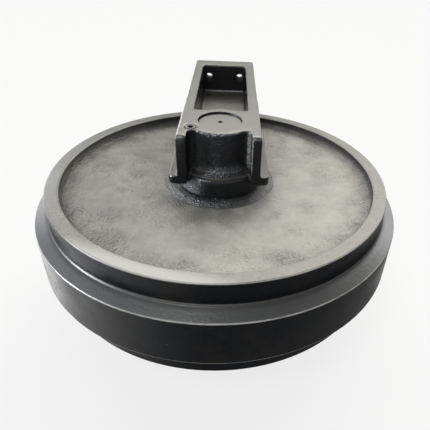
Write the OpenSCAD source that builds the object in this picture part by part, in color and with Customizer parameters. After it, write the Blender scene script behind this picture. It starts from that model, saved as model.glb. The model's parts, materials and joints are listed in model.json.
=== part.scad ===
// Front idler of a crawler excavator, lying on its lower bracket with the axle upright.
// The origin is the middle of the wheel, on the axle. +Z runs up along the axle and
// +Y runs from the axle to the yoke ends of the two brackets. All sizes are in millimetres.

/* [Wheel] */
// Diameter over the guide flange that runs between the track links
flange_d = 560; // [546:2:620]
// Diameter of the tread that the track links roll on
tread_d = 520; // [490:2:530]
// Width of the wheel between its two rim edges
wheel_w = 155; // [148:1:180]
// Width of the guide flange at its outer edge
flange_w = 70; // [60:1:80]
// Width of the guide flange where it meets the tread
flange_root_w = 90; // [84:1:100]
// Radial thickness of the rim at its open edge
rim_t = 20; // [16:1:24]
// Depth of the dish below the rim edge
dish_depth = 16; // [12:1:20]
// Thickness of the web under the dish
web_t = 13; // [10:1:16]
// Thickness of metal under the tread
tread_wall = 28; // [25:1:34]
// Thickness of metal under the guide flange, at its edge
flange_wall = 30; // [24:1:34]
// Thickness of metal in the sides of the guide flange
flange_side_wall = 12; // [8:1:16]
// Fillet between the rim and the dish
dish_fillet = 10; // [4:1:12]
// Fillet at the foot of the guide flange
flange_fillet = 5; // [3:0.5:8]
// Rounding of the rim edges and of the guide flange's edge
edge_round = 2.5; // [1:0.5:4]
// Depth of the weld groove around the guide flange
rim_weld_depth = 12; // [8:1:16]
// Width of the weld groove around the guide flange
rim_weld_w = 12; // [8:1:16]

/* [Hub] */
// Metal around the seal housing at each end of the hub
hub_wall = 17; // [12:1:20]
// Metal around the bushes in the middle of the hub
hub_core_wall = 16; // [12:1:22]
// Length of hub, inwards from the web, that keeps the full diameter
hub_land = 7; // [4:1:12]
// Height of the hub's end faces above the dish
hub_rise = 3.5; // [2.5:0.5:6]
// Width of the fillet weld between the hub and the dish
hub_weld_w = 10; // [6:1:14]
// Height of the fillet weld between the hub and the dish
hub_weld_h = 3; // [1.5:0.5:3]

/* [Shaft and bushes] */
// Shaft diameter
shaft_d = 65; // [60:1:68]
// Depth of the shaft's ends below the outer faces of the brackets
shaft_recess = 3; // [1:0.5:6]
// Depth of the oil space turned into the middle of the shaft
waist_depth = 2.5; // [1:0.5:4]
// Length of the oil space turned into the middle of the shaft
waist_l = 44; // [30:1:60]
// Chamfer at the shaft's ends
shaft_chamfer = 1.5; // [0.5:0.5:3]
// Diameter of the centre hole in each end of the shaft
centre_d = 7.5; // [4:0.5:10]
// Wall of the bushes
bush_wall = 5.5; // [4:0.5:7]
// Reach of the bush's thrust flange beyond the wall
bush_lip = 5; // [3:0.5:7]
// Thickness of the bush's thrust flange
bush_flange_t = 5; // [3:0.5:6]
// Rounding of the bush's edges
bush_round = 1; // [0.5:0.5:2]
// Depth of the bush's seat below the hub's end face
bush_seat = 8; // [7:0.5:10]
// Oil space between the two bushes
bush_gap = 18; // [10:1:30]

/* [Seals] */
// Space between the thrust boss and the seal rings
seal_gap = 2.5; // [1.5:0.5:4]
// Radial width of the lapped face of a seal ring
seal_face_w = 10; // [8:0.5:12]
// Wall of a seal ring under its toric ring
seal_ramp_wall = 4.5; // [3.5:0.5:6]
// Thickness of the flange behind the lapped face
seal_flange_t = 3; // [2:0.5:4]
// Taper of a seal ring's ramp, as a difference of radius
seal_taper = 0.8; // [0.4:0.1:1.4]
// Thickness of a toric ring
toric_d = 9; // [8:0.5:10]
// Depth of a seal housing
seal_depth = 15; // [14:0.5:17]
// Wall of the collar around the static seal
collar_wall = 8; // [6:0.5:12]
// Thickness of the shaft's O-rings
oring_d = 3.5; // [2.5:0.5:5]
// Distance of the shaft's O-rings above the seal housing
oring_rise = 12; // [8:1:16]

/* [Bracket] */
// Distance from the axle to the yoke face
yoke_reach = 321; // [300:1:360]
// Distance from the axle to the front face of the arms
front_reach = 60; // [56:1:68]
// Height of the bracket, from the underside of its guide plate to its outer face
bracket_h = 77; // [70:1:90]
// Space between the rim edge and the bracket
bracket_clear = 8; // [5:1:14]
// Width of the bracket's body
body_w = 118; // [114:1:130]
// Extra width of the guided section, on each side
guide_step = 1.5; // [1:0.5:4]
// Height of the bevel on the guided section's upper edges
guide_bevel = 6; // [3:1:10]
// Length of the guided section, from the front face
guide_l = 160; // [140:1:190]
// Length of the slope where the guided section ends
guide_run_out = 18; // [10:1:26]
// Thickness of the guide plate at the foot of the bracket
plate_t = 14; // [10:1:18]
// Reach of the guide plate beyond the guided section, on each side
plate_lip = 13; // [8:0.5:20]
// Chamfer at the front corners of the guide plate
ear_chamfer = 5; // [2:0.5:8]
// Width of the two arms beside the boss
arm_w = 14.5; // [10:0.5:16]
// Rounding of the arms' upper front edge
arm_round = 6.5; // [2:0.5:8]
// Metal around the shaft in the boss
boss_wall = 17.5; // [15:0.5:20]
// Rounding of the boss's upper front edge
boss_round = 4; // [1:0.5:5]
// Fillet between the boss and the arms
bay_fillet = 8; // [5:0.5:9]
// Height of the flare between the boss and the seal collar
flare_h = 25; // [14:1:30]
// Height of the flare's foot above the underside of the guide plate
shoulder_h = 9; // [5:0.5:12]
// Rounding of the collar's shoulder
shoulder_round = 3; // [1:0.5:5]
// Draft of the collar's outside, as a difference of radius
collar_draft = 3; // [0:0.5:5]
// Rounding of the collar's edge beside the hub
collar_round = 1; // [0.5:0.5:3]
// Rounding of the corners at the yoke end
yoke_corner = 5; // [2:0.5:10]

/* [Bracket pocket and bolts] */
// Thickness of the pocket's floor
pocket_floor = 22; // [14:1:28]
// Thickness of the pocket's side walls
side_wall = 16.5; // [12:0.5:18]
// Thickness of the wall that takes the yoke bolts
end_wall = 35; // [25:1:45]
// Distance from the axle to the pocket's front wall
pocket_front = 41; // [41:1:52]
// Metal between the shaft and the pocket
pocket_boss_wall = 14.5; // [12:0.5:18]
// Rounding in the pocket's corners and around its floor
pocket_round = 6; // [3:0.5:9]
// Diameter of the yoke bolt holes
yoke_hole_d = 15.5; // [13:0.5:20]
// Distance between the yoke bolt holes
yoke_hole_pitch = 62; // [44:1:66]
// Distance of the yoke bolt holes below the bracket's outer face
yoke_hole_drop = 24; // [16:1:36]

/* [Lock pin and oil plug] */
// Diameter of the pin that locks the shaft in the bracket
pin_d = 12; // [10:0.5:14]
// Length of the lock pin
pin_l = 96; // [80:1:110]
// Chamfer at the lock pin's ends
pin_chamfer = 1; // [0.5:0.5:2]
// Depth of the lock pin's axis inside the shaft's surface
pin_bite = 3.5; // [2:0.5:5]
// Distance of the lock pin below the bracket's outer face
pin_drop = 34; // [26:1:36]
// Direction of the oil plug around the axle
plug_angle = 212; // [206:1:214]
// Distance of the oil plug's axis outside the thrust boss
plug_offset = 6.4; // [5:0.2:8]
// Diameter of the oil plug's head
plug_head_d = 15; // [13:0.5:16]
// Height of the oil plug's head
plug_head_h = 4; // [3:0.5:6]
// Diameter of the oil plug's shank
plug_shank_d = 11; // [8:0.5:12]
// Length of the oil plug's shank
plug_shank_l = 13; // [8:1:18]
// Width of the oil plug's hexagon socket, across its flats
plug_socket = 8; // [5:0.5:9]
// Depth of the hexagon socket
plug_socket_depth = 3.4; // [2:0.2:4]
// Depth of the oil plug's head below the bracket's outer face
plug_recess = 0.6; // [0:0.2:2]
// Thickness of the oil plug's washer
washer_t = 1.5; // [1:0.5:3]
// Diameter of the oil passage under the plug
passage_d = 6; // [4:0.5:8]

/* [Fits] */
// Radial running clearance between the shaft and the bushes
running_clear = 0.05; // [0.02:0.01:0.1]
// End play between each bush and its bracket
side_clear = 0.4; // [0.3:0.1:0.8]
// Gap between the hub's end face and the seal collar
collar_gap = 1; // [0.6:0.1:2]
// Oil film between the two lapped faces of a seal
seal_film = 0.05; // [0.02:0.01:0.1]
// Clearance of pieces that are pressed, welded or screwed together
seat_clear = 0.02; // [0.01:0.01:0.05]
// Clearance around rubber rings
rubber_clear = 0.1; // [0.05:0.01:0.2]
// Gap around the oil plug's head
plug_gap = 1.1; // [0.6:0.1:1.2]

/* [Hidden] */
$fn = 96;

paint = "#2c2d2f";
steel = "#8d9094";
cast_ring = "#5b5d60";
bronze = "#a98650";
rubber = "#1b1b1c";
copper = "#b5673a";

// Steps in a rounded corner, and overlap of cutting shapes past the faces that they cut
corner_steps = 6;
cut = 1;

// Radii from the axle outwards
shaft_r = shaft_d / 2;
bush_in_r = shaft_r + running_clear;
bush_out_r = bush_in_r + bush_wall;
thrust_r = bush_out_r + bush_lip;
hub_bore_r = bush_out_r + seat_clear;
seal_in_r = thrust_r + seal_gap;
seal_out_r = seal_in_r + seal_face_w;
ramp_r = seal_in_r + seal_ramp_wall;
toric_r = ramp_r + rubber_clear + toric_d / 2;
housing_r = toric_r + toric_d / 2 + rubber_clear;
collar_r = housing_r + collar_wall;
hub_r = housing_r + hub_wall;
hub_core_r = hub_bore_r + hub_core_wall;
web_hole_r = hub_r + seat_clear;
boss_r = shaft_r + boss_wall;
bracket_bore_r = shaft_r + seat_clear;
flange_r = flange_d / 2;
tread_r = tread_d / 2;

// Heights above the middle of the wheel
rim_z = wheel_w / 2;
dish_z = rim_z - dish_depth;
web_in_z = dish_z - web_t;
hub_face_z = dish_z + hub_rise;
seat_z = hub_face_z - bush_seat;
hub_floor_z = hub_face_z - seal_depth;
collar_z = hub_face_z + collar_gap;
seal_z = (hub_face_z + collar_z) / 2;
collar_floor_z = collar_z + seal_depth;
thrust_z = seat_z + bush_flange_t + side_clear;
plate_z = rim_z + bracket_clear;
ledge_z = plate_z + plate_t;
shoulder_z = plate_z + shoulder_h;
face_z = plate_z + bracket_h;
pocket_z = plate_z + pocket_floor;
shaft_z = face_z - shaft_recess;
oring_z = collar_floor_z + oring_rise;
pin_z = face_z - pin_drop;

// Places in the plan of the bracket
guide_w = body_w + 2 * guide_step;
guide_end = guide_l - front_reach;
arm_in = guide_w / 2 - arm_w;
bay_x = arm_in - bay_fillet;
bay_y = -sqrt(pow(boss_r + bay_fillet, 2) - pow(bay_x, 2));
pocket_w = body_w - 2 * side_wall;
pocket_end = yoke_reach - end_wall;
pocket_boss_r = shaft_r + pocket_boss_wall;
pin_y = shaft_r - pin_bite;
plug_x = (thrust_r + plug_offset) * cos(plug_angle);
plug_y = (thrust_r + plug_offset) * sin(plug_angle);
plug_seat_z = face_z - plug_recess - plug_head_h - washer_t;

function unit(v) = v / norm(v);

// Points of the round corner at b, which lies between the points a and c
function corner(a, b, c, r) =
  let (
    u = unit(a - b),
    v = unit(c - b),
    half = acos(u * v) / 2,
    centre = b + unit(u + v) * r / sin(half),
    from = b + u * r / tan(half) - centre,
    to = b + v * r / tan(half) - centre,
    start = atan2(from.y, from.x),
    sweep = (atan2(to.y, to.x) - start + 540) % 360 - 180
  )
  [for (i = [0 : corner_steps]) let (t = start + sweep * i / corner_steps) centre + r * [cos(t), sin(t)]];

// Outline through points given as [x, y, radius of the corner]
function rounded(path) = [
  for (i = [0 : len(path) - 1])
    let (
      n = len(path),
      p = path[i],
      before = path[(i + n - 1) % n],
      after = path[(i + 1) % n]
    )
    each p.z == 0
      ? [[p.x, p.y]]
      : corner([before.x, before.y], [p.x, p.y], [after.x, after.y], p.z)
];

// Turns an upper piece into the same piece on the lower side
module lower() {
  rotate([0, 180, 0]) children();
}

// Solid turned about the axle from an outline of [radius, height, corner radius] points
module turned(path) {
  rotate_extrude() polygon(rounded(path));
}

// Cylinder along the axle, between two heights
module post(r, from, to) {
  translate([0, 0, from]) cylinder(r = r, h = to - from);
}

// Half of the wheel: web, rim, tread and half of the guide flange
module wheel_half() {
  dish_round = min(dish_fillet, 0.8 * (dish_depth - edge_round));
  tread_in_r = tread_r - tread_wall;
  flange_in_r = flange_r - flange_wall;
  core_root_z = flange_root_w / 2 - flange_side_wall;
  core_edge_z = flange_w / 2 - flange_side_wall;
  color(paint) turned([
    [web_hole_r, web_in_z, 0],
    [tread_in_r, web_in_z, edge_round],
    [tread_in_r, core_root_z, edge_round],
    [flange_in_r, core_edge_z, edge_round],
    [flange_in_r, 0, 0],
    [flange_r - rim_weld_depth, 0, 0],
    [flange_r, rim_weld_w / 2, 0],
    [flange_r, flange_w / 2, edge_round],
    [tread_r, flange_root_w / 2, flange_fillet],
    [tread_r, rim_z, edge_round],
    [tread_r - rim_t, rim_z, edge_round],
    [tread_r - rim_t, dish_z, dish_round],
    [web_hole_r, dish_z, 0]
  ]);
}

module upper_wheel_half() {
  wheel_half();
}

module lower_wheel_half() {
  lower() wheel_half();
}

// Weld that fills the groove between the two halves, ground flush with the guide flange
module rim_weld() {
  weld_half = rim_weld_w / 2 - seat_clear;
  color(paint) turned([
    [flange_r - rim_weld_depth + seat_clear * 2, 0, 0],
    [flange_r, -weld_half, 0],
    [flange_r, weld_half, 0]
  ]);
}

// Half of the hub's section: bore, bush seat, seal housing, end face and waist
function hub_side(side) = [
  [hub_bore_r, side * seat_z, 0],
  [thrust_r, side * seat_z, 0],
  [thrust_r, side * hub_floor_z, 0],
  [housing_r, side * hub_floor_z, edge_round],
  [housing_r, side * hub_face_z, 0],
  [hub_r, side * hub_face_z, collar_round],
  [hub_r, side * (web_in_z - hub_land), 0],
  [hub_core_r, side * (web_in_z - hub_land - (hub_r - hub_core_r)), 0]
];

module hub() {
  lower_side = hub_side(-1);
  color(paint) turned(concat(hub_side(1), [for (i = [len(lower_side) - 1 : -1 : 0]) lower_side[i]]));
}

// Flat fillet weld that slopes from the hub down to the dish
module hub_weld() {
  color(paint) turned([
    [web_hole_r, dish_z, 0],
    [web_hole_r + hub_weld_w, dish_z, 0],
    [web_hole_r, dish_z + hub_weld_h, 0]
  ]);
}

module upper_hub_weld() {
  hub_weld();
}

module lower_hub_weld() {
  lower() hub_weld();
}

// Bush with a thrust flange, pressed into the hub
module bush() {
  color(bronze) turned([
    [bush_in_r, bush_gap / 2, 0],
    [bush_out_r, bush_gap / 2, bush_round],
    [bush_out_r, seat_z, 0],
    [thrust_r, seat_z, 0],
    [thrust_r, seat_z + bush_flange_t, bush_round],
    [bush_in_r, seat_z + bush_flange_t, bush_round]
  ]);
}

module upper_bush() {
  bush();
}

module lower_bush() {
  lower() bush();
}

// Metal ring of a face seal, with its lapped face down on the plane between hub and collar
module seal_ring() {
  tip = seal_depth - seal_flange_t;
  translate([0, 0, seal_z]) color(cast_ring) turned([
    [seal_in_r, seal_film / 2, 0],
    [seal_out_r, seal_film / 2, 0],
    [seal_out_r, seal_flange_t, 0],
    [ramp_r + seal_taper / 2, seal_flange_t, seal_taper],
    [ramp_r - seal_taper / 2, tip, 0],
    [seal_in_r, tip, 0]
  ]);
}

// Rubber ring that holds a seal ring in its housing
module toric() {
  middle = (seal_depth + seal_flange_t) / 2;
  translate([0, 0, seal_z + middle]) color(rubber) rotate_extrude() translate([toric_r, 0]) circle(d = toric_d);
}

// Turns a static seal piece into the rotating one on the other side of the lapped faces
module across_seal() {
  translate([0, 0, 2 * seal_z]) rotate([180, 0, 0]) children();
}

module upper_static_seal_ring() {
  seal_ring();
}

module lower_static_seal_ring() {
  lower() seal_ring();
}

module upper_rotating_seal_ring() {
  across_seal() seal_ring();
}

module lower_rotating_seal_ring() {
  lower() across_seal() seal_ring();
}

module upper_static_toric() {
  toric();
}

module lower_static_toric() {
  lower() toric();
}

module upper_rotating_toric() {
  across_seal() toric();
}

module lower_rotating_toric() {
  lower() across_seal() toric();
}

// Groove for an O-ring, turned into the shaft
module oring_groove() {
  groove_w = oring_d + 2 * rubber_clear;
  translate([0, 0, oring_z]) difference() {
    cylinder(r = shaft_r + cut, h = groove_w, center = true);
    cylinder(r = shaft_r - oring_d - rubber_clear, h = groove_w + 2 * cut, center = true);
  }
}

module pin_hole(d) {
  translate([0, pin_y, pin_z]) rotate([0, 90, 0]) cylinder(d = d, h = guide_w + 2 * cut, center = true);
}

// What is cut out of one end of the shaft: pin notch, O-ring groove and centre hole
module shaft_end_cuts() {
  pin_hole(pin_d + 2 * seat_clear);
  oring_groove();
  translate([0, 0, shaft_z]) {
    cylinder(d = centre_d / 2, h = 4 * centre_d, center = true);
    translate([0, 0, -centre_d / 2]) cylinder(d1 = 0, d2 = centre_d + 2 * cut, h = centre_d / 2 + cut);
  }
}

module shaft() {
  waist_r = shaft_r - waist_depth;
  color(steel) difference() {
    turned([
      [0, -shaft_z, 0],
      [shaft_r - shaft_chamfer, -shaft_z, 0],
      [shaft_r, -shaft_z + shaft_chamfer, 0],
      [shaft_r, -waist_l / 2 - waist_depth, 0],
      [waist_r, -waist_l / 2, 0],
      [waist_r, waist_l / 2, 0],
      [shaft_r, waist_l / 2 + waist_depth, 0],
      [shaft_r, shaft_z - shaft_chamfer, 0],
      [shaft_r - shaft_chamfer, shaft_z, 0],
      [0, shaft_z, 0]
    ]);
    shaft_end_cuts();
    lower() shaft_end_cuts();
  }
}

// O-ring between the shaft and the bracket
module shaft_oring() {
  translate([0, 0, oring_z]) color(rubber) rotate_extrude()
    translate([shaft_r - oring_d / 2, 0]) circle(d = oring_d);
}

module upper_shaft_oring() {
  shaft_oring();
}

module lower_shaft_oring() {
  lower() shaft_oring();
}

// Long body of the bracket, from the axle to the yoke face
module bracket_body() {
  half = body_w / 2;
  translate([0, 0, plate_z]) linear_extrude(bracket_h) polygon(rounded([
    [-half, -front_reach, 0],
    [half, -front_reach, 0],
    [half, yoke_reach, yoke_corner],
    [-half, yoke_reach, yoke_corner]
  ]));
}

// Plan of the guided section or of the guide plate, with sloped rear ends
module guide_plan(half, front) {
  polygon(concat(front, [
    [half, guide_end - guide_run_out],
    [body_w / 2, guide_end],
    [-body_w / 2, guide_end],
    [-half, guide_end - guide_run_out]
  ]));
}

// Wider section that runs in the track frame, with bevelled upper edges
module guided_section() {
  half = guide_w / 2;
  intersection() {
    translate([0, 0, plate_z]) linear_extrude(bracket_h)
      guide_plan(half, [[-half, -front_reach], [half, -front_reach]]);
    translate([0, guide_end, 0]) rotate([90, 0, 0]) linear_extrude(guide_l) polygon([
      [-half, plate_z],
      [half, plate_z],
      [half, face_z - guide_bevel],
      [body_w / 2, face_z],
      [-body_w / 2, face_z],
      [-half, face_z - guide_bevel]
    ]);
  }
}

// Plate along the foot of the guided section; its top is the ledge that slides in the frame
module guide_plate() {
  half = guide_w / 2 + plate_lip;
  translate([0, 0, plate_z]) linear_extrude(plate_t) guide_plan(half, [
    [-half, ear_chamfer - front_reach],
    [ear_chamfer - half, -front_reach],
    [half - ear_chamfer, -front_reach],
    [half, ear_chamfer - front_reach]
  ]);
}

// Plan of the open bay between the arms, with the boss standing in it
module bay_plan() {
  difference() {
    union() {
      translate([-arm_in, -front_reach - cut]) square([2 * arm_in, front_reach + cut + bay_y]);
      polygon([[-bay_x, bay_y], [0, 0], [bay_x, bay_y]]);
      for (side = [-1, 1]) translate([side * bay_x, bay_y]) circle(r = bay_fillet);
    }
    circle(r = boss_r);
  }
}

module bay() {
  translate([0, 0, plate_z - cut]) linear_extrude(bracket_h + 2 * cut) bay_plan();
}

// Removes the sharp upper edge along the front of both arms
module arm_rounding() {
  translate([0, -front_reach, face_z]) difference() {
    cube([guide_w + 2 * cut, 2 * arm_round, 2 * arm_round], center = true);
    translate([0, arm_round, -arm_round]) rotate([0, 90, 0])
      cylinder(r = arm_round, h = guide_w + 4 * cut, center = true);
  }
}

// Removes the sharp upper edge of the boss where it stands in the bay
module boss_rounding() {
  intersection() {
    translate([0, 0, face_z - boss_round]) rotate_extrude() translate([boss_r - boss_round, 0]) difference() {
      square(boss_round + cut);
      circle(r = boss_round);
    }
    translate([0, 0, face_z - boss_round]) linear_extrude(boss_round + cut) polygon([
      [0, 0],
      [-2 * bay_x, 2 * bay_y],
      [2 * bay_x, 2 * bay_y]
    ]);
  }
}

// Seal collar around the axle, with the flare that carries it from the boss
module collar() {
  shoulder_r = collar_r - collar_draft;
  flare_w = shoulder_r - shoulder_round - boss_r;
  flare = [
    for (a = [0 : 9 : 90])
      [boss_r + flare_w * (1 - cos(a)), shoulder_z + flare_h * (1 - sin(a)), 0]
  ];
  turned(concat(
    [[shaft_r, collar_z, 0], [collar_r, collar_z, collar_round], [shoulder_r, shoulder_z, shoulder_round]],
    [for (i = [len(flare) - 1 : -1 : 0]) flare[i]],
    [[shaft_r, shoulder_z + flare_h, 0]]
  ));
}

// Space that holds the static seal, open towards the hub
module seal_housing() {
  difference() {
    post(housing_r, thrust_z - cut, collar_floor_z);
    post(thrust_r, thrust_z - 2 * cut, collar_floor_z + cut);
  }
}

// Open pocket behind the axle, with the wall around the shaft bulging into it
module pocket() {
  difference() {
    hull() for (x = [-1, 1], y = [pocket_front + pocket_round, pocket_end - pocket_round])
      translate([x * (pocket_w / 2 - pocket_round), y, 0]) {
        translate([0, 0, pocket_z + pocket_round]) sphere(r = pocket_round, $fn = 24);
        translate([0, 0, face_z]) cylinder(r = pocket_round, h = cut, $fn = 24);
      }
    post(pocket_boss_r, plate_z, face_z + 2 * cut);
  }
}

module yoke_holes() {
  for (side = [-1, 1])
    translate([side * yoke_hole_pitch / 2, yoke_reach + cut, face_z - yoke_hole_drop])
      rotate([90, 0, 0]) cylinder(d = yoke_hole_d, h = end_wall + pocket_round);
}

// Hole for the oil plug, its washer seat and the passage down to the seal housing
module plug_hole() {
  translate([plug_x, plug_y, 0]) {
    post(plug_head_d / 2 + plug_gap, plug_seat_z, face_z + cut);
    post(plug_shank_d / 2 + seat_clear, plug_seat_z - plug_shank_l, plug_seat_z + cut);
    post(passage_d / 2, collar_floor_z - cut, plug_seat_z);
  }
}

module bracket() {
  color(paint) difference() {
    union() {
      difference() {
        union() {
          bracket_body();
          guided_section();
          guide_plate();
        }
        bay();
      }
      collar();
      post(thrust_r, thrust_z, plate_z);
    }
    post(bracket_bore_r, thrust_z - cut, face_z + cut);
    seal_housing();
    pocket();
    yoke_holes();
    pin_hole(pin_d + 2 * seat_clear);
    plug_hole();
    arm_rounding();
    boss_rounding();
  }
}

module upper_bracket() {
  bracket();
}

module lower_bracket() {
  lower() bracket();
}

// Pin across the bracket that sits in the shaft's notch
module lock_pin() {
  translate([0, pin_y, pin_z]) rotate([0, 90, 0]) color(steel) turned([
    [0, -pin_l / 2, 0],
    [pin_d / 2 - pin_chamfer, -pin_l / 2, 0],
    [pin_d / 2, pin_chamfer - pin_l / 2, 0],
    [pin_d / 2, pin_l / 2 - pin_chamfer, 0],
    [pin_d / 2 - pin_chamfer, pin_l / 2, 0],
    [0, pin_l / 2, 0]
  ]);
}

module upper_lock_pin() {
  lock_pin();
}

module lower_lock_pin() {
  lower() lock_pin();
}

// Screw plug with a hexagon socket
module oil_plug() {
  head_z = plug_seat_z + washer_t;
  translate([plug_x, plug_y, 0]) color(steel) difference() {
    union() {
      post(plug_head_d / 2, head_z, head_z + plug_head_h);
      post(plug_shank_d / 2, plug_seat_z - plug_shank_l, head_z);
    }
    translate([0, 0, head_z + plug_head_h - plug_socket_depth])
      cylinder(d = plug_socket / cos(30), h = plug_socket_depth + cut, $fn = 6);
  }
}

module upper_oil_plug() {
  oil_plug();
}

module lower_oil_plug() {
  lower() oil_plug();
}

// Washer under the head of the oil plug
module plug_washer() {
  translate([plug_x, plug_y, 0]) color(copper) difference() {
    post(plug_head_d / 2, plug_seat_z, plug_seat_z + washer_t);
    post(plug_shank_d / 2 + rubber_clear, plug_seat_z - cut, plug_seat_z + washer_t + cut);
  }
}

module upper_plug_washer() {
  plug_washer();
}

module lower_plug_washer() {
  lower() plug_washer();
}

upper_wheel_half();
lower_wheel_half();
rim_weld();
hub();
upper_hub_weld();
lower_hub_weld();
upper_bush();
lower_bush();
upper_rotating_seal_ring();
lower_rotating_seal_ring();
upper_rotating_toric();
lower_rotating_toric();
shaft();
upper_bracket();
lower_bracket();
upper_static_seal_ring();
lower_static_seal_ring();
upper_static_toric();
lower_static_toric();
upper_shaft_oring();
lower_shaft_oring();
upper_lock_pin();
lower_lock_pin();
upper_oil_plug();
lower_oil_plug();
upper_plug_washer();
lower_plug_washer();
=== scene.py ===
"""Looks of an excavator front idler: black enamel on a cast and turned wheel with two cast brackets."""

import json
import math

import bmesh
import bpy
from mathutils import Matrix, Vector, noise


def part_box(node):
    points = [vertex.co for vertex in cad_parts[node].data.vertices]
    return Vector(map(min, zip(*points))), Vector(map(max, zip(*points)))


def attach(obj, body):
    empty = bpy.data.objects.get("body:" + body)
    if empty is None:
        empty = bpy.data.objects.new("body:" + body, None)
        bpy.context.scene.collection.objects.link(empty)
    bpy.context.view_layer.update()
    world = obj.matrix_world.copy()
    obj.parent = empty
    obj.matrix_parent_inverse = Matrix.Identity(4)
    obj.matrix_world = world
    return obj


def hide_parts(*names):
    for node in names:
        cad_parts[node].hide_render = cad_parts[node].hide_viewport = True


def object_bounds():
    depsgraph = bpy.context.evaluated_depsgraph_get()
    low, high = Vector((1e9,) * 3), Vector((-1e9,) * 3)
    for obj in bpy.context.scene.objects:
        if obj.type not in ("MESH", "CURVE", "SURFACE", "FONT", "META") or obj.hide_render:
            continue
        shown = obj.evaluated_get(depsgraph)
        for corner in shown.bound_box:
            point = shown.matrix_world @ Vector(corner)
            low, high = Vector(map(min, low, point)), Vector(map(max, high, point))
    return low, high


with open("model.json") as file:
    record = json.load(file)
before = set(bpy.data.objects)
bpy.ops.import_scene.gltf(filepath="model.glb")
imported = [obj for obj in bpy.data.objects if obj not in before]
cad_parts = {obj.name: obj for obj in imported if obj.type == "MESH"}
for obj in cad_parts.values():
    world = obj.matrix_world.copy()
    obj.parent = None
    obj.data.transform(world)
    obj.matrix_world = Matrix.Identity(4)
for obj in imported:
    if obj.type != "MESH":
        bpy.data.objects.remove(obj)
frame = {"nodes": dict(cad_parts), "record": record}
cad_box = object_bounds()
nodes = frame["nodes"]

SIDES = ("upper", "lower")
PLUGS = ("upper_oil_plug", "lower_oil_plug")
MM = 0.001

# Edges of the CAD wheel
RIM_R = 260 * MM
RIM_IN_R = 240 * MM
RIM_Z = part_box("upper_wheel_half")[1].z
FLANGE_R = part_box("upper_wheel_half")[1].x
FLANGE_Z = 35 * MM

# Hub of the CAD wheel and the weld between it and the dish
HUB_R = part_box("hub")[1].x
DISH_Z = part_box("upper_hub_weld")[0].z
WELD_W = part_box("upper_hub_weld")[1].x - HUB_R
WELD_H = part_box("upper_hub_weld")[1].z - DISH_Z

# Faces of the CAD brackets
FACE_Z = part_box("upper_bracket")[1].z
YOKE_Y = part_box("upper_bracket")[1].y
LEDGE_Z = 99.5 * MM
PLATE_Z = 85.5 * MM
COLLAR_Z = 93.5 * MM
GUIDE_X = 60.5 * MM
ARM_X = 46 * MM
BOSS_IN_R = 48.5 * MM

# Holes in the CAD brackets, plugs and shaft
BORE_R = 32.5 * MM
BORE_GAP = 0.35 * MM
POCKET_END_Y = 285 * MM
YOKE_HOLE_X = 31 * MM
YOKE_HOLE_Z = 138.5 * MM
YOKE_HOLE_R = 7.75 * MM
YOKE_MOUTH_R = 8.8 * MM
YOKE_SKIN = 0.4 * MM
PLUG_AXIS = tuple((sum(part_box("upper_oil_plug"), Vector()) / 2).xy)
# Radii and heights within which the enamel stays black as painted shade: the gap round the plug, its socket,
# the shaft's centre hole
PLUG_GAP_SHADE_R = 8.8 * MM
PLUG_SOCKET_SHADE_R = 4.8 * MM
PLUG_SHADE_Z = FACE_Z - 2.5 * MM
CENTRE_HOLE_R = 3.8 * MM
SHAFT_SHADE_Z = FACE_Z - 3.3 * MM
HOLE_EDGE = 0.2 * MM

# Skin of the castings; its waves are given as size and height
CAST_VOXEL = 1.7 * MM
CAST_SMOOTHINGS = 3
CAST_SMOOTHING = 0.5
CAST_WAVES = ((22 * MM, 0.30 * MM), (9 * MM, 0.14 * MM), (4.2 * MM, 0.06 * MM))
ARM_SKIN = 0.4
SQUARE = 0.9
SHARP_EDGE = math.radians(50)

# Weld beads round the hub; their lumps are given as size and height
WELD_STEPS = 480
WELD_RINGS = 12
WELD_WANDER = 0.22
WELD_WANDER_SIZE = 12 * MM
WELD_WAVES = ((9 * MM, 0.3 * MM), (3.6 * MM, 0.13 * MM))

# Camera that sees the object as the photograph does
CAMERA_PLACE = (0.01705, -0.6104, 0.4121)
CAMERA_YAW = math.radians(3.56)
CAMERA_PITCH = math.radians(-34.44)
CAMERA_ROLL = math.radians(3.24)
CAMERA_LENS_MM = 36.26
CAMERA_SHIFT_X = -0.086

# Colours of the enamel and of what lies on it, and of painted sheen, highlights and shade
BLACK = (0.0042, 0.0048, 0.0062, 1)
GREY = (0.015, 0.015, 0.016, 1)
GRIME = (0.012, 0.0105, 0.009, 1)
DUST = (0.084, 0.079, 0.060, 1)
# Thin dust, also the colour of the painted shade in the dish's corner
DUST_THIN_AND_SHADE = (0.030, 0.030, 0.028, 1)
# Chalk dust; the dust is painted paler to one side as a sheen
CHALK_AND_SHEEN = (0.36, 0.35, 0.316, 1)
# Thin chalk dust, also the colour of the painted sheen on the dish's inner wall
CHALK_THIN_AND_SHEEN = (0.105, 0.104, 0.097, 1)
STAIN = (0.11, 0.11, 0.105, 1)
# Bare steel of worn edges, also the colour of painted highlights
WORN_AND_HIGHLIGHT = (0.52, 0.515, 0.50, 1)
ENAMEL_ROUGHNESS = 0.3
COAT_IOR = 1.9

# In all that follows, a span is where a value starts to count and where it counts in full, then what it
# stands for at both; a noise is its grain's size, then its detail and roughness where they aren't usual.

# Zones of the wheel by radius, and how square to the axle a surface is where it counts as level
DISH_ZONE = (RIM_IN_R + MM, RIM_IN_R - MM)
FACE_OUT_ZONE = (RIM_R + 1.2 * MM, RIM_R + 0.2 * MM)
FACE_IN_ZONE = (84 * MM, 90 * MM)
HUB_ZONE = (89 * MM, 83 * MM)
SLOPE_ZONE = (RIM_R + 2 * MM, RIM_R + 8 * MM)
PEBBLE_ZONE = (190 * MM, 230 * MM)
SHADED_CORNER_ZONE = (221 * MM, 237 * MM)
STAIN_ZONE = (140 * MM, 90 * MM)
WHEEL_FLAT = (0.2, 0.85)
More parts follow.
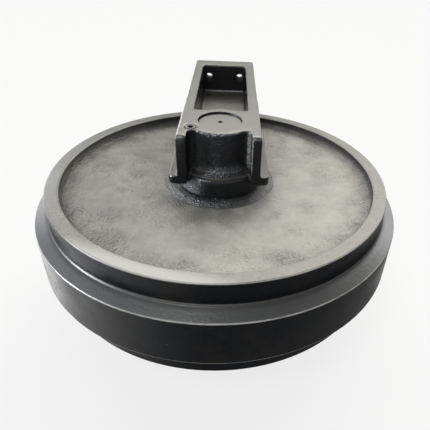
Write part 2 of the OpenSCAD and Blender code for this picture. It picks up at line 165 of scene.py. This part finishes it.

# Chalky dust on the wheel's faces, in patches and specks, thinner on the rim, and painted paler to one side
# as a sheen
SHEEN_SIDE = (0.94, -0.34, 0)
SHEEN_SPAN = (-220 * MM, 220 * MM, 0.0, 0.68)
PATCH_NOISE = (60 * MM, 5, 0.65)
PATCH_SPAN = (0.35, 0.68, -0.1, 0.5)
SPECK_NOISE = (4 * MM, 3, 0.7)
SPECK_SPAN = (0.3, 0.7, -0.16, 0.16)
UNEVEN_NOISE = (50 * MM, 3)
UNEVEN_SPAN = (0.4, 0.65)
RIM_DUST = 0.5
# Stains round the hub, and a smudge beside it
STAIN_NOISE = (40 * MM, 5, 0.6)
STAIN_SPAN = (0.45, 0.75)
STAIN_STRENGTH = 0.75
SMUDGE_AXIS = (-94 * MM, -62 * MM)
SMUDGE_ZONE = (36 * MM, 8 * MM)
SMUDGE_NOISE = (20 * MM, 4)
SMUDGE_SPAN = (0.3, 0.6)
# Painted shade in the dish's corner, less on the paler side
SHADED_CORNER_SPAN = (0.3, 0.65, 1.0, 0.5)
SHADED_CORNER_SIDES = (-100 * MM, 120 * MM, 0.75, 0.3)
# Side of the rim with a painted highlight, and edges that are rubbed all round, with a painted highlight on
# the rim's inner edge
HIGHLIGHT_SIDE = (-0.34, -0.94, 0)
HIGHLIGHT_SPAN = (222 * MM, 250 * MM)
HIGHLIGHT_STRENGTH = 0.6
EDGE_W = 1.4 * MM
EDGE_SPAN = (0.3, 0.6, 0.3, 0.8)
INNER_EDGE_HIGHLIGHT = 0.7
# Painted sheen on the dish's inner wall at the sides, grimy sides and wiped hub
WALL_SHEEN_SPAN = (100 * MM, 200 * MM, 0.3, 1.0)
GRIME_SPAN = (0.45, 0.7)
WIPED_SPAN = (0.65, 0.4)

# Gloss and relief of the wheel
WHEEL_ROUGH_SPAN = (0.3, 0.7)
SIDE_ROUGHNESS = (0.22, 0.4)
LEVEL_ROUGHNESS = (0.4, 0.55)
WHEEL_SPECULAR = 0.06
WHEEL_SIDE_COAT = 0.02
WHEEL_COAT_ROUGHNESS = 0.36
FACE_GLOSS_SPAN = (0.3, 0.75, 0.5, 0.25)
SHINE_SPAN = (0.3, 0.7, 1.0, 0.8)
FILLET_SHINE = 0.6
PEBBLE_NOISE = (3 * MM, 1, 0.4)
PEBBLE_DEPTH = 2.2 * MM
HUB_NOISE = (2.2 * MM, 1, 0.4)
HUB_DEPTH = 2.5 * MM
GRIT_NOISE = (4 * MM, 2, 0.5)
GRIT_DEPTH = 0.22 * MM
WAVE_NOISE = (50 * MM,)
WAVE_DEPTH = 0.6 * MM

# How square to the axle a casting's surface is where dust lies on it, and where its coat thickens
CAST_FLAT = (0.8, 0.96)
CAST_LIFT = (0.06, 0.5)

# Dust, gloss and relief of the castings; the tail is the part towards the yoke
CAST_PATCH_NOISE = (30 * MM, 5, 0.65)
CAST_DUST_SPAN = (0.35, 0.68)
TAIL_ZONE = (20 * MM, 35 * MM)
UPRIGHT_ROUGHNESS = 0.16
TOP_ROUGHNESS = 0.5
HOLE_ROUGHNESS = 1.0
CAST_SPECULAR = 0.28
CAST_COAT_ROUGHNESS = 0.3
CAST_SIDE_COAT = 0.03
TOP_COAT_SPAN = (0.3, 0.75, 0.82, 0.64)
TOP_FADE_SPAN = (0.0, 300 * MM, 1.2, 0.9)
LEDGE_COAT = 0.34
BAY_FACING = (-0.25, -0.8)
BAY_COAT = 0.7
GRAIN_NOISE = (2.2 * MM, 1, 0.45)
GRAIN_DEPTH = 2.9 * MM
COLLAR_GRAIN = 0.4
SMOOTH_GRAIN = 0.2
# Run of thick paint in the bay's right fillet, with a painted highlight streak on it
RUN_X = 39 * MM
RUN_Y = -30 * MM
RUN_W = 5 * MM
RUN_RISE = 15 * MM
RUN_FACING = (-0.2, -0.5)
RUN_FACING_END = (-0.96, -0.8)
RUN_GRAIN = 1.7
GLINT_SPAN = (0.4, 0.58)

# Bare metals inside the idler as colour and roughness, and the rubber of its seals
METALS = {
    "bush_bronze": ((0.52, 0.36, 0.17, 1), 0.3),
    "seal_iron": ((0.30, 0.30, 0.31, 1), 0.25),
    "pin_steel": ((0.20, 0.20, 0.21, 1), 0.35),
    "washer_copper": ((0.62, 0.30, 0.16, 1), 0.3),
}
SCRATCH_NOISE = (6 * MM, 4)
SCRATCH_SPAN = (0.3, 0.7)
SCRATCH_ROUGHNESS = (-0.05, 0.08)
RUBBER = (0.015, 0.015, 0.016, 1)
RUBBER_ROUGHNESS = 0.6
RUBBER_NOISE = (4 * MM,)
RUBBER_SPAN = (0.3, 0.7, 0.5, 0.7)

# Floor: its colour, its size in metres, and its glow where the camera or gloss sees it
FLOOR_COLOUR = (0.74, 0.74, 0.74, 1)
FLOOR_ROUGHNESS = 0.9
FLOOR_SIZE = 60
FLOOR_GLOW = 0.80
FLOOR_GLOW_BRIGHT = 0.97
# Brightness of the floor as the object mirrors it, from right to left: a dark card and a pale one
CARD_SPAN = (0.0, -0.4, 0.45, 3.0)

# Sky: a pale backdrop for the camera, else dim overhead and a little brighter in front
WHITE = (1, 1, 1, 1)
BACKDROP_BRIGHT = 0.93
SKY_COLOUR = (0.95, 0.97, 1.0, 1)
SKY_SPAN = (-0.1, -0.5, 0.30, 0.55)
# Bright window in the sky behind the object: turn to the right, sines of its rise, soft edge, and shade
# from left to right
WINDOW_TURN = math.radians(6)
WINDOW_RISE = (0.33, 0.72)
WINDOW_EDGE = (0.3, 0.65)
WINDOW_SHADE = (-0.5, 0.5, 0.72, 1.25)
WINDOW_BRIGHT = 5.2
WINDOW_COLOUR = (1.0, 0.96, 0.86, 1)
# Two lower windows beside it: sideways reach, rise, fall, soft edge, shade from left to right
FLANK_REACH = (0.32, 0.48)
FLANK_RISE = (0.0, 0.3)
FLANK_FALL = (0.6, 0.45)
FLANK_EDGE = (0.4, 0.7)
FLANK_SHADE = (-0.4, 0.4, 1.35, 0.7)
FLANK_BRIGHT = 5.0

# Lamps
FRONT_LAMP_PLACE = (-0.6, -1.2, 1.8)
FRONT_LAMP_SIZE = (0.5, 0.5)
FRONT_LAMP_RADIANCE = 13.0
LEFT_LAMP_PLACE = (-1.78, -0.4, 0.5)
LEFT_LAMP_SIZE = (0.5, 0.7)
LEFT_LAMP_RADIANCE = 60.0
LEFT_LAMP_COLOUR = (0.88, 0.93, 1.0)


class Graph:
    """A node tree under construction: each method adds nodes and returns an output socket."""

    def __init__(self, tree):
        self.tree = tree

    def add(self, kind, **settings):
        """Adds a node; the node itself is returned."""
        node = self.tree.nodes.new(kind)
        for name, value in settings.items():
            setattr(node, name, value)
        return node

    def feed(self, socket, value):
        """Sets an input socket to a constant, or links another node's output to it."""
        if isinstance(value, bpy.types.NodeSocket):
            self.tree.links.new(value, socket)
        else:
            socket.default_value = value

    def maths(self, operation, first, second=0.0):
        """One operation on one or two numbers."""
        node = self.add("ShaderNodeMath", operation=operation)
        self.feed(node.inputs[0], first)
        self.feed(node.inputs[1], second)
        return node.outputs["Value"]

    def product(self, first, *others):
        """All the numbers multiplied."""
        for other in others:
            first = self.maths("MULTIPLY", first, other)
        return first

    def total(self, first, *others):
        """All the numbers added."""
        for other in others:
            first = self.maths("ADD", first, other)
        return first

    def largest(self, first, *others):
        """The largest of the numbers."""
        for other in others:
            first = self.maths("MAXIMUM", first, other)
        return first

    def rest(self, value):
        """What value lacks of 1."""
        return self.maths("SUBTRACT", 1.0, value)

    def part(self, vector, axis):
        """How far vector goes along one axis."""
        node = self.add("ShaderNodeSeparateXYZ")
        self.feed(node.inputs["Vector"], vector)
        return node.outputs[axis]

    def along(self, vector, direction):
        """How far vector goes along a direction."""
        node = self.add("ShaderNodeVectorMath", operation="DOT_PRODUCT")
        self.feed(node.inputs[0], vector)
        self.feed(node.inputs[1], direction)
        return node.outputs["Value"]

    def span(self, value, low, high, to_low=0.0, to_high=1.0):
        """Smooth step from to_low to to_high as value goes from low to high."""
        node = self.add("ShaderNodeMapRange", interpolation_type="SMOOTHSTEP")
        self.feed(node.inputs["Value"], value)
        for name, number in (("From Min", low), ("From Max", high), ("To Min", to_low), ("To Max", to_high)):
            self.feed(node.inputs[name], number)
        return node.outputs["Result"]

    def mix(self, factor, first, second):
        """Colour between first and second."""
        node = self.add("ShaderNodeMix", data_type="RGBA")
        inputs = [socket for socket in node.inputs if socket.type == "RGBA"]
        self.feed(node.inputs["Factor"], factor)
        self.feed(inputs[0], first)
        self.feed(inputs[1], second)
        return next(socket for socket in node.outputs if socket.type == "RGBA")

    def blend(self, factor, first, second):
        """Number between first and second."""
        node = self.add("ShaderNodeMix")
        self.feed(node.inputs["Factor"], factor)
        self.feed(node.inputs["A"], first)
        self.feed(node.inputs["B"], second)
        return node.outputs["Result"]


class Finish(Graph):
    """A procedural material under construction."""

    def __init__(self, name, colour, roughness, metallic=0.0):
        self.material = bpy.data.materials.new(name)
        self.material.use_nodes = True
        super().__init__(self.material.node_tree)
        self.shader = self.tree.nodes["Principled BSDF"]
        self.set("Base Color", colour)
        self.set("Roughness", roughness)
        self.set("Metallic", metallic)
        coordinates = self.add("ShaderNodeTexCoord")
        self.place = coordinates.outputs["Object"]
        self.facing = coordinates.outputs["Normal"]

    def set(self, name, value):
        """Sets or links one input of the shader."""
        self.feed(self.shader.inputs[name], value)

    def across(self):
        """Distance from the upright plane through the axle and the yoke, on either side."""
        return self.maths("ABSOLUTE", self.part(self.place, "X"))

    def height(self):
        """Distance from the wheel's middle plane, on either side."""
        return self.maths("ABSOLUTE", self.part(self.place, "Z"))

    def radius(self, x=0.0, y=0.0):
        """Distance from the axle, or from a line beside it that the lower half has turned over."""
        half = self.maths("SIGN", self.part(self.place, "Z"))
        aside = self.maths("SUBTRACT", self.product(self.part(self.place, "X"), half), x)
        ahead = self.maths("SUBTRACT", self.part(self.place, "Y"), y)
        return self.maths("SQRT", self.total(self.product(aside, aside), self.product(ahead, ahead)))

    def flatness(self):
        """1 where the surface is square to the axle, 0 where it is parallel to it."""
        return self.maths("ABSOLUTE", self.part(self.facing, "Z"))

    def noise(self, size, detail=2.0, roughness=0.5):
        """Noise from 0 to 1 whose grains are about size metres across."""
        node = self.add("ShaderNodeTexNoise")
        self.feed(node.inputs["Vector"], self.place)
        node.inputs["Scale"].default_value = 1 / size
        node.inputs["Detail"].default_value = detail
        node.inputs["Roughness"].default_value = roughness
        return node.outputs["Fac"]

    def bump(self, height, depth, below=None):
        """Relief whose height of 0 to 1 stands for depth metres, over another relief."""
        node = self.add("ShaderNodeBump")
        node.inputs["Distance"].default_value = depth
        self.feed(node.inputs["Height"], height)
        if below is not None:
            self.feed(node.inputs["Normal"], below)
        return node.outputs["Normal"]

    def emboss(self, relief):
        """Gives the enamel and its coat a relief."""
        self.set("Normal", relief)
        self.set("Coat Normal", relief)


def face_dust_and_painted_light(paint, radius, dish, patches, uneven):
    """Colour of the chalky dust on the dish and the rim, with its stains and smudge, a painted sheen to one
    side, a painted highlight on the rim and painted shade in the dish's corner.
    """
    # Painted sheen: the dust grows paler towards one side
    pale = paint.along(paint.place, SHEEN_SIDE)
    spread = paint.total(paint.span(patches, *PATCH_SPAN), paint.span(pale, *SHEEN_SPAN))
    specks = paint.product(paint.span(paint.noise(*SPECK_NOISE), *SPECK_SPAN), uneven)
    amount = paint.product(paint.total(spread, specks), paint.blend(dish, RIM_DUST, 1.0))

    stains = paint.product(
        paint.span(paint.noise(*STAIN_NOISE), *STAIN_SPAN),
        paint.span(radius, *STAIN_ZONE),
    )
    smudge = paint.product(
        paint.span(paint.radius(*SMUDGE_AXIS), *SMUDGE_ZONE),
        paint.span(paint.noise(*SMUDGE_NOISE), *SMUDGE_SPAN),
    )
    stained = paint.product(paint.largest(stains, smudge), STAIN_STRENGTH)
    sheened_chalk = paint.mix(stained, paint.mix(amount, CHALK_THIN_AND_SHEEN, CHALK_AND_SHEEN), STAIN)

    # Painted highlight on one side of the rim
    rim_highlight = paint.span(paint.along(paint.place, HIGHLIGHT_SIDE), *HIGHLIGHT_SPAN)
    highlit = paint.mix(paint.product(rim_highlight, paint.rest(dish), HIGHLIGHT_STRENGTH), sheened_chalk, WORN_AND_HIGHLIGHT)
    # Painted shade in the dish's corner by the rim
    corner = paint.product(
        paint.span(radius, *SHADED_CORNER_ZONE),
        dish,
        paint.span(patches, *SHADED_CORNER_SPAN),
        paint.span(pale, *SHADED_CORNER_SIDES),
    )
    return paint.mix(corner, highlit, DUST_THIN_AND_SHADE)


def worn_and_highlit_edges(paint, radius):
    """Where the outer edges of rim and guide flange are rubbed, and where the rim's inner edge has a painted
    highlight.
    """
    height = paint.height()
    outer = [
        paint.product(
            paint.span(radius, edge_r - EDGE_W, edge_r - EDGE_W / 2),
            paint.span(height, edge_z - EDGE_W, edge_z - EDGE_W / 2),
            paint.span(height, edge_z + EDGE_W, edge_z + EDGE_W / 2),
        )
        for edge_r, edge_z in ((RIM_R, RIM_Z), (FLANGE_R, FLANGE_Z))
    ]
    # Painted highlight along the rim's inner edge
    inner = paint.product(
        paint.span(radius, RIM_IN_R - EDGE_W, RIM_IN_R),
        paint.span(radius, RIM_IN_R + EDGE_W, RIM_IN_R + EDGE_W / 2),
        paint.span(height, RIM_Z - EDGE_W, RIM_Z - EDGE_W / 2),
        INNER_EDGE_HIGHLIGHT,
    )
    return paint.total(*outer, inner)


def wheel_enamel():
    """Black enamel on the wheel, with dust on what lies level, worn edges, and painted sheen, highlights and
    shade.
    """
    paint = Finish("wheel_enamel", BLACK, ENAMEL_ROUGHNESS)
    radius = paint.radius()
    flat = paint.span(paint.flatness(), *WHEEL_FLAT)
    dish = paint.span(radius, *DISH_ZONE)
    hub = paint.span(radius, *HUB_ZONE)
    slope = paint.span(radius, *SLOPE_ZONE)
    face = paint.product(paint.span(radius, *FACE_OUT_ZONE), paint.span(radius, *FACE_IN_ZONE))
    patches = paint.noise(*PATCH_NOISE)
    uneven = paint.total(
        paint.span(paint.noise(*UNEVEN_NOISE), *UNEVEN_SPAN),
        paint.span(radius, *PEBBLE_ZONE),
    )

    # Painted sheen: the rim's inner wall is pale towards the left and right, black behind and in front
    wall = paint.product(
        paint.span(radius, RIM_IN_R - 2 * EDGE_W, RIM_IN_R - EDGE_W),
        paint.span(radius, RIM_IN_R + EDGE_W, RIM_IN_R),
        paint.span(paint.across(), *WALL_SHEEN_SPAN),
    )
    side = paint.mix(wall, paint.mix(paint.span(patches, *GRIME_SPAN), BLACK, GRIME), CHALK_THIN_AND_SHEEN)
    wiped = paint.mix(paint.product(hub, paint.span(patches, *WIPED_SPAN)), DUST_THIN_AND_SHADE, BLACK)
    level = paint.mix(face, wiped, face_dust_and_painted_light(paint, radius, dish, patches, uneven))
    # Worn outer edges, and a painted highlight on the rim's inner edge
    edge = paint.product(worn_and_highlit_edges(paint, radius), paint.span(patches, *EDGE_SPAN))
    paint.set("Base Color", paint.mix(edge, paint.mix(flat, side, level), WORN_AND_HIGHLIGHT))

    roughness = [paint.blend(flat, *ends) for ends in zip(SIDE_ROUGHNESS, LEVEL_ROUGHNESS)]
    paint.set("Roughness", paint.span(patches, *WHEEL_ROUGH_SPAN, *roughness))
    paint.set("Specular IOR Level", WHEEL_SPECULAR)
    shine = paint.product(
        paint.blend(paint.largest(slope, hub), FILLET_SHINE, 1.0),
        paint.span(patches, *SHINE_SPAN),
    )
    gloss = paint.blend(face, shine, paint.span(patches, *FACE_GLOSS_SPAN))
    paint.set("Coat Weight", paint.blend(flat, WHEEL_SIDE_COAT, gloss))
    paint.set("Coat Roughness", WHEEL_COAT_ROUGHNESS)
    paint.set("Coat IOR", COAT_IOR)

    pebbles = paint.bump(paint.product(paint.noise(*PEBBLE_NOISE), uneven, dish), PEBBLE_DEPTH)
    rough = paint.bump(paint.product(paint.noise(*HUB_NOISE), hub), HUB_DEPTH, pebbles)
    grit = paint.bump(paint.product(paint.noise(*GRIT_NOISE), slope, flat), GRIT_DEPTH, rough)
    paint.emboss(paint.bump(paint.noise(*WAVE_NOISE), WAVE_DEPTH, grit))
    return paint.material


def in_yoke_hole(paint):
    """1 in the two yoke holes and at their mouths, else 0."""
    aside = paint.maths("SUBTRACT", paint.across(), YOKE_HOLE_X)
    rise = paint.maths("SUBTRACT", paint.height(), YOKE_HOLE_Z)
    off_axis = paint.total(paint.product(aside, aside), paint.product(rise, rise))
    near = paint.maths("LESS_THAN", off_axis, YOKE_MOUTH_R ** 2)
    return paint.product(near, paint.maths("GREATER_THAN", paint.part(paint.place, "Y"), POCKET_END_Y))


def paint_run(paint, leftward):
    """Where a run of thick paint lies in the fillet between the boss and the right arm, with its painted
    highlight.
    """
    return paint.product(
        paint.span(paint.part(paint.place, "X"), RUN_X - RUN_W, RUN_X),
        paint.span(paint.part(paint.place, "Y"), RUN_Y, RUN_Y - RUN_W),
        paint.span(paint.height(), LEDGE_Z, LEDGE_Z + RUN_RISE),
        paint.span(leftward, *RUN_FACING),
        paint.span(leftward, *RUN_FACING_END),
    )


def cast_enamel(name, hole, shade_r, shade_z=0.0):
    """Black enamel on rough cast steel, dusty and smooth where it is machined level.

    It stays black, as painted shade, within the given radius of a hole's axis and nearer than the given
    height to the wheel's middle plane: in the gap round a plug, in a plug's socket, in the shaft's centre
    hole.
    """
    paint = Finish(name, BLACK, ENAMEL_ROUGHNESS)
    height = paint.height()
    length = paint.part(paint.place, "Y")
    leftward = paint.part(paint.facing, "X")
    beside = paint.span(paint.radius(*hole), shade_r - HOLE_EDGE, shade_r + HOLE_EDGE)
    # Painted shade: no dust, only black, in the plug's gap and socket and in the centre hole
    unshaded = paint.product(paint.span(height, shade_z - MM, shade_z), beside)
    clear = paint.product(unshaded, paint.rest(in_yoke_hole(paint)))
    flat = paint.product(paint.span(paint.flatness(), *CAST_FLAT), unshaded)
    tail = paint.span(length, *TAIL_ZONE)
    arms = paint.product(
        paint.span(paint.across(), ARM_X - MM, ARM_X + MM),
        paint.span(height, PLATE_Z - MM, PLATE_Z + MM),
    )
    smooth = paint.largest(arms, tail, flat)
    run = paint_run(paint, leftward)
    patches = paint.noise(*CAST_PATCH_NOISE)
    grains = paint.noise(*GRAIN_NOISE)

    dust = paint.mix(paint.span(patches, *CAST_DUST_SPAN), DUST_THIN_AND_SHADE, DUST)
    enamel = paint.mix(flat, paint.mix(tail, BLACK, GREY), dust)
    # Painted highlight: a pale speckled streak along the run
    painted_glint = paint.product(run, paint.span(grains, *GLINT_SPAN))
    paint.set("Base Color", paint.mix(painted_glint, enamel, WORN_AND_HIGHLIGHT))

    roughness = paint.blend(flat, UPRIGHT_ROUGHNESS, TOP_ROUGHNESS)
    paint.set("Roughness", paint.blend(clear, HOLE_ROUGHNESS, roughness))
    paint.set("Specular IOR Level", CAST_SPECULAR)
    ledge = paint.span(height, LEDGE_Z + 2 * MM, LEDGE_Z + MM)
    top_coat = paint.product(paint.span(patches, *TOP_COAT_SPAN), paint.span(length, *TOP_FADE_SPAN))
    level_coat = paint.blend(ledge, top_coat, LEDGE_COAT)
    bay_coat = paint.product(paint.span(leftward, *BAY_FACING), paint.rest(smooth), BAY_COAT)
    upright_coat = paint.largest(bay_coat, run, CAST_SIDE_COAT)
    lift = paint.product(paint.span(paint.flatness(), *CAST_LIFT), clear)
    paint.set("Coat Weight", paint.blend(lift, upright_coat, level_coat))
    paint.set("Coat Roughness", CAST_COAT_ROUGHNESS)
    paint.set("Coat IOR", COAT_IOR)

    rough = paint.span(height, COLLAR_Z + MM, COLLAR_Z - MM, 1.0, COLLAR_GRAIN)
    depth = paint.blend(run, paint.blend(smooth, rough, SMOOTH_GRAIN), RUN_GRAIN)
    paint.emboss(paint.bump(paint.product(grains, depth), GRAIN_DEPTH))
    return paint.material


def bright_metal(name, colour, roughness):
    """Turned metal with fine scratches."""
    metal = Finish(name, colour, roughness, metallic=1.0)
    ends = [roughness + change for change in SCRATCH_ROUGHNESS]
    metal.set("Roughness", metal.span(metal.noise(*SCRATCH_NOISE), *SCRATCH_SPAN, *ends))
    return metal.material


def seal_rubber():
    """Black nitrile rubber."""
    rubber = Finish("seal_rubber", RUBBER, RUBBER_ROUGHNESS)
    rubber.set("Roughness", rubber.span(rubber.noise(*RUBBER_NOISE), *RUBBER_SPAN))
    return rubber.material


def finish_nodes():
    """Gives every CAD node the finish of its material slot, but the oil plugs their own plug enamel, and
    returns the finishes.
    """
    finishes = {
        "wheel_paint": wheel_enamel(),
        "cast_paint": cast_enamel("cast_enamel", PLUG_AXIS, PLUG_GAP_SHADE_R),
        "shaft_steel": cast_enamel("shaft_enamel", (0.0, 0.0), CENTRE_HOLE_R, SHAFT_SHADE_Z),
        "seal_rubber": seal_rubber(),
    }
    for name, (colour, roughness) in METALS.items():
        finishes[name] = bright_metal(name, colour, roughness)
    plug_enamel = cast_enamel("plug_enamel", PLUG_AXIS, PLUG_SOCKET_SHADE_R, PLUG_SHADE_Z)
    for row in frame["record"]["subparts"]:
        finish = plug_enamel if row["node"] in PLUGS else finishes[row["material_slot"]]
        for slot in nodes[row["node"]].material_slots:
            slot.material = finish
    return finishes


def casting_skin(point, normal):
    """How far the rough skin of a bracket stands out at a point, none where it is machined or bored."""
    x, y, z = (abs(point.x), point.y, abs(point.z))
    level = abs(normal.z) > SQUARE and (z > FACE_Z - MM or abs(z - LEDGE_Z) < MM and x > GUIDE_X - MM)
    upright = normal.y > SQUARE and y > YOKE_Y - MM or abs(normal.x) > SQUARE and x > GUIDE_X - MM
    if level or upright or math.hypot(x, y) < BOSS_IN_R:
        return 0
    skin = sum(depth * noise.noise(point / size) for size, depth in CAST_WAVES)
    return skin * ARM_SKIN if x > ARM_X and z > PLATE_Z else skin


def sharpen_bore(point):
    """Puts a point near the shaft's bore on the bore's wall or on the machined face around it."""
    radius = math.hypot(point.x, point.y)
    if abs(radius - BORE_R) > CAST_VOXEL or abs(point.z) < LEDGE_Z:
        return
    to = BORE_R + BORE_GAP
    if abs(point.z) > FACE_Z - CAST_VOXEL:
        point.z = math.copysign(FACE_Z, point.z)
        to = max(to, radius)
    point.x *= to / radius
    point.y *= to / radius


def sharpen_yoke_hole(point):
    """Puts a point near a yoke hole's wall on that wall with its cast skin, or on the yoke face around it."""
    middle = Vector((math.copysign(YOKE_HOLE_X, point.x), math.copysign(YOKE_HOLE_Z, point.z)))
    off = Vector((point.x, point.z)) - middle
    if point.y < POCKET_END_Y or abs(off.length - YOKE_HOLE_R) > CAST_VOXEL:
        return
    to = YOKE_HOLE_R - YOKE_SKIN
    if point.y > YOKE_Y - CAST_VOXEL:
        point.y = YOKE_Y
        to = max(to, off.length)
    point.x, point.z = middle + off * (to / off.length)


def casting(name, finish):
    """Rough casting that stands for a CAD bracket: softened edges, uneven skin, true machined faces."""
    node = nodes[name]
    piece = bpy.data.objects.new(f"{name}_casting", node.data.copy())
    bpy.context.scene.collection.objects.link(piece)
    remesh = piece.modifiers.new("voxels", "REMESH")
    remesh.mode = "VOXEL"
    remesh.voxel_size = CAST_VOXEL
    view = bpy.context.evaluated_depsgraph_get()
    rough = bpy.data.meshes.new_from_object(piece.evaluated_get(view))
    piece.modifiers.remove(remesh)
    form = bmesh.new()
    form.from_mesh(rough)
    axes = {f"use_axis_{axis}": True for axis in "xyz"}
    for _ in range(CAST_SMOOTHINGS):
        bmesh.ops.smooth_vert(form, verts=form.verts, factor=CAST_SMOOTHING, **axes)
    form.normal_update()
    moves = [(vert, vert.normal * casting_skin(vert.co, vert.normal)) for vert in form.verts]
    for vert, move in moves:
        vert.co += move
        vert.co.z = max(-FACE_Z, min(FACE_Z, vert.co.z))
        vert.co.y = min(YOKE_Y, vert.co.y)
        sharpen_bore(vert.co)
        sharpen_yoke_hole(vert.co)
    for face in form.faces:
        face.smooth = True
    form.to_mesh(rough)
    form.free()
    piece.data = rough
    rough.set_sharp_from_angle(angle=SHARP_EDGE)
    rough.materials.clear()
    rough.materials.append(finish)
    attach(piece, "support")
    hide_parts(name)


def weld_bead(side, finish):
    """Rough fillet weld that slopes from the hub down to the dish, with a wandering edge."""
    up = 1 if side == "upper" else -1
    bead = bmesh.new()
    rings = []
    for i in range(WELD_STEPS):
        turn = 2 * math.pi * i / WELD_STEPS
        out = Vector((math.cos(turn), math.sin(turn), 0))
        foot = out * HUB_R + Vector((0, 0, up * DISH_Z))
        width = WELD_W * (1 - WELD_WANDER * (0.5 + noise.noise(foot / WELD_WANDER_SIZE)))
        ring = [bead.verts.new(foot)]
        for j in range(WELD_RINGS + 1):
            climb = j / WELD_RINGS
            place = foot + out * width * (1 - climb)
            lumps = sum(depth * noise.noise(place / size) for size, depth in WELD_WAVES)
            place.z += up * (WELD_H * climb + lumps * math.sqrt(climb * (1 - climb)) * 2)
            ring.append(bead.verts.new(place))
        rings.append(ring)
    for ring, after in zip(rings, rings[1:] + rings[:1]):
        for j in range(len(ring)):
            k = (j + 1) % len(ring)
            corners = (ring[j], after[j], after[k], ring[k])
            bead.faces.new(corners if up > 0 else corners[::-1])
    for face in bead.faces:
        face.smooth = True
    mesh = bpy.data.meshes.new(f"{side}_weld_bead")
    bead.to_mesh(mesh)
    bead.free()
    mesh.materials.append(finish)
    piece = bpy.data.objects.new(f"{side}_weld_bead", mesh)
    bpy.context.scene.collection.objects.link(piece)
    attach(piece, "wheel")
    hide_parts(f"{side}_hub_weld")


def softbox(name, place, size, radiance, colour=(1, 1, 1), glints_only=False):
    """Soft area lamp at place, facing the frame's origin; for glints only, it lights nothing but gloss."""
    lamp = bpy.data.lights.new(name, "AREA")
    lamp.shape = "RECTANGLE"
    lamp.size, lamp.size_y = size
    lamp.energy = radiance * math.pi * size[0] * size[1]
    lamp.color = colour
    holder = bpy.data.objects.new(name, lamp)
    holder.visible_camera = False
    holder.visible_diffuse = not glints_only
    bpy.context.scene.collection.objects.link(holder)
    turn = Vector(place).to_track_quat("Z", "Y").to_matrix().to_4x4()
    holder.matrix_world = Matrix.Translation(place) @ turn


def sky():
    """Soft sky: large bright windows behind the object, dim overhead, a plain pale backdrop."""
    world = bpy.data.worlds.new("sky")
    world.use_nodes = True
    graph = Graph(world.node_tree)
    direction = graph.add("ShaderNodeTexCoord").outputs["Generated"]
    rise = graph.part(direction, "Z")
    side = graph.part(direction, "X")
    behind = graph.along(direction, (math.sin(WINDOW_TURN), math.cos(WINDOW_TURN), 0))
    window = graph.product(
        graph.span(rise, *WINDOW_RISE),
        graph.span(behind, *WINDOW_EDGE),
        graph.span(side, *WINDOW_SHADE),
    )
    flank = graph.product(
        graph.span(graph.maths("ABSOLUTE", side), *FLANK_REACH),
        graph.span(rise, *FLANK_RISE),
        graph.span(rise, *FLANK_FALL),
        graph.span(behind, *FLANK_EDGE),
        graph.span(side, *FLANK_SHADE),
    )
    light = graph.total(
        graph.product(window, WINDOW_BRIGHT),
        graph.product(flank, FLANK_BRIGHT),
        graph.span(behind, *SKY_SPAN),
    )
    background = graph.tree.nodes["Background"]
    seen = graph.add("ShaderNodeLightPath").outputs["Is Camera Ray"]
    colour = graph.mix(window, SKY_COLOUR, WINDOW_COLOUR)
    graph.feed(background.inputs["Color"], graph.mix(seen, colour, WHITE))
    graph.feed(background.inputs["Strength"], graph.blend(seen, light, BACKDROP_BRIGHT))
    return world


def floor_plaster():
    """Plain pale floor that keeps its shadow, and glows a little where the camera or gloss sees it."""
    plaster = Finish("floor_plaster", FLOOR_COLOUR, FLOOR_ROUGHNESS)
    plaster.set("Specular IOR Level", 0.0)
    path = plaster.add("ShaderNodeLightPath")
    camera, *others = [path.outputs[f"Is {kind} Ray"] for kind in ("Camera", "Glossy", "Transmission")]
    cards = plaster.span(plaster.part(plaster.place, "X"), *CARD_SPAN)
    glow = plaster.add("ShaderNodeEmission")
    brightness = plaster.product(plaster.blend(camera, cards, 1.0), FLOOR_GLOW_BRIGHT)
    plaster.feed(glow.inputs["Strength"], brightness)
    join = plaster.add("ShaderNodeMixShader")
    plaster.feed(join.inputs["Fac"], plaster.product(plaster.largest(camera, *others), FLOOR_GLOW))
    plaster.feed(join.inputs[1], plaster.shader.outputs["BSDF"])
    plaster.feed(join.inputs[2], glow.outputs["Emission"])
    plaster.feed(plaster.tree.nodes["Material Output"].inputs["Surface"], join.outputs["Shader"])
    return plaster.material


def studio():
    """Pale floor under the object, two soft lamps and a sky."""
    scene = bpy.context.scene
    scene.view_settings.view_transform = "Standard"
    scene.world = sky()

    mesh = bpy.data.meshes.new("floor")
    grid = bmesh.new()
    bmesh.ops.create_grid(grid, x_segments=1, y_segments=1, size=FLOOR_SIZE / 2)
    grid.to_mesh(mesh)
    grid.free()
    mesh.materials.append(floor_plaster())
    floor = bpy.data.objects.new("floor", mesh)
    floor.location.z = cad_box[0].z
    scene.collection.objects.link(floor)

    softbox("front_softbox", FRONT_LAMP_PLACE, FRONT_LAMP_SIZE, FRONT_LAMP_RADIANCE)
    softbox(
        "left_softbox",
        LEFT_LAMP_PLACE,
        LEFT_LAMP_SIZE,
        LEFT_LAMP_RADIANCE,
        LEFT_LAMP_COLOUR,
        glints_only=True,
    )


def photo_camera():
    """Camera at the photograph's place, turned, tilted and rolled as it was."""
    camera = bpy.data.objects.new("camera", bpy.data.cameras.new("camera"))
    camera.data.lens = CAMERA_LENS_MM
    camera.data.shift_x = CAMERA_SHIFT_X
    turn = Matrix.Rotation(-CAMERA_YAW, 4, "Z")
    tilt = Matrix.Rotation(math.pi / 2 + CAMERA_PITCH, 4, "X")
    roll = Matrix.Rotation(CAMERA_ROLL, 4, "Z")
    camera.matrix_world = Matrix.Translation(CAMERA_PLACE) @ turn @ tilt @ roll
    bpy.context.scene.collection.objects.link(camera)
    bpy.context.scene.camera = camera


finishes = finish_nodes()
for side in SIDES:
    casting(f"{side}_bracket", finishes["cast_paint"])
    weld_bead(side, finishes["wheel_paint"])
studio()
photo_camera()
